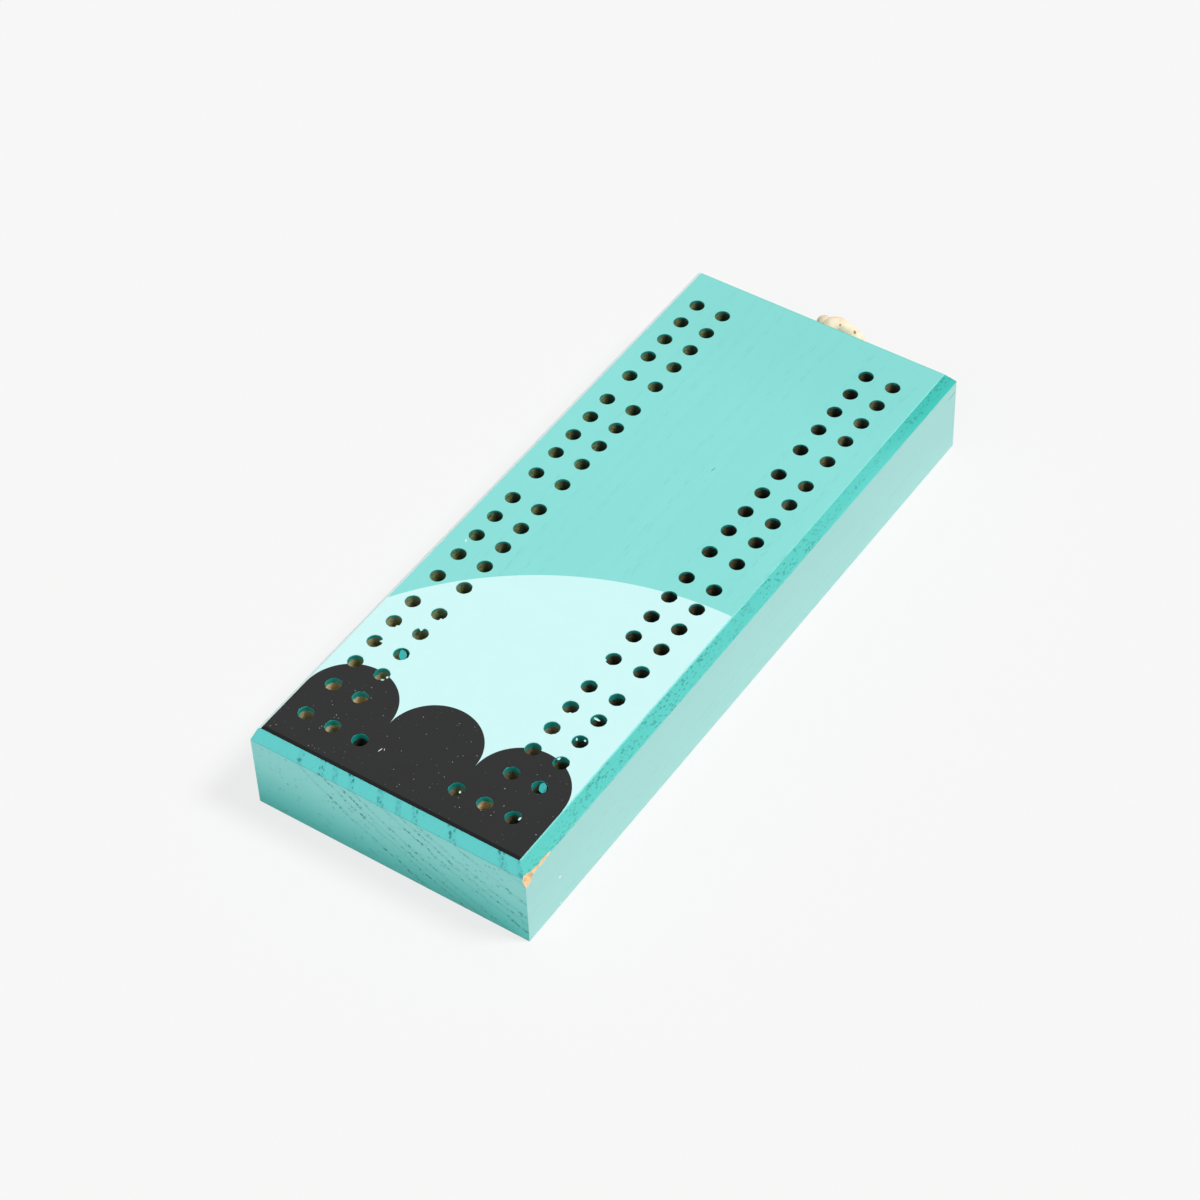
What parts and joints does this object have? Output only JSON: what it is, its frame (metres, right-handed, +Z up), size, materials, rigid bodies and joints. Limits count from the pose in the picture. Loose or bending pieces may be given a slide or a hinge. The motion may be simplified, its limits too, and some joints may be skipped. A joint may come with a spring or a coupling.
{
  "type": "cribbage board with peg drawer",
  "caption": "Pocket cribbage board: painted hardwood block with lanes of blind peg holes, bevelled edges, two-colour top film and a slim peg drawer with a knotted leather lace pull.",
  "frame": {"origin": "middle of the block's underside, on the surface that the board lies on", "axes": "+Z up out of the playing face; +Y along the lanes towards the bevelled end where the game starts; the drawer opens towards -Y; +X towards the long side with no bevel"},
  "size_m": [0.0636, 0.1661, 0.0191],
  "materials": {
    "painted_wood": "satin paint over open-pored hardwood",
    "bare_wood": "sawn and sanded, unfinished",
    "pale_print": "smooth thin film",
    "black_print": "smooth thin film",
    "screw_brass": "bright turned",
    "magnet_steel": "nickel plated",
    "lace_leather": "natural undyed",
    "peg_light": "turned, waxed",
    "peg_dark": "turned, stained"
  },
  "bodies": {
    "board": {"board_block": "painted_wood", "base_panel": "bare_wood", "panel_screws": "screw_brass", "stop_screw": "screw_brass", "catch_magnet": "magnet_steel", "film_pale": "pale_print", "film_black": "black_print"},
    "drawer": {"drawer_front": "painted_wood", "drawer_side_left": "bare_wood", "drawer_side_right": "bare_wood", "drawer_back": "bare_wood", "drawer_bottom": "bare_wood", "drawer_magnet": "magnet_steel", "drawer_brads": "screw_brass", "leather_pull": "lace_leather", "peg_light_1": "peg_light", "peg_light_2": "peg_light", "peg_light_3": "peg_light", "peg_dark_1": "peg_dark", "peg_dark_2": "peg_dark", "peg_dark_3": "peg_dark"}
  },
  "joints": [
    {"name": "drawer_slide", "type": "slide", "parent": "board", "child": "drawer", "axis": [0, -1, 0], "range_m": [0, 0.086]}
  ]
}
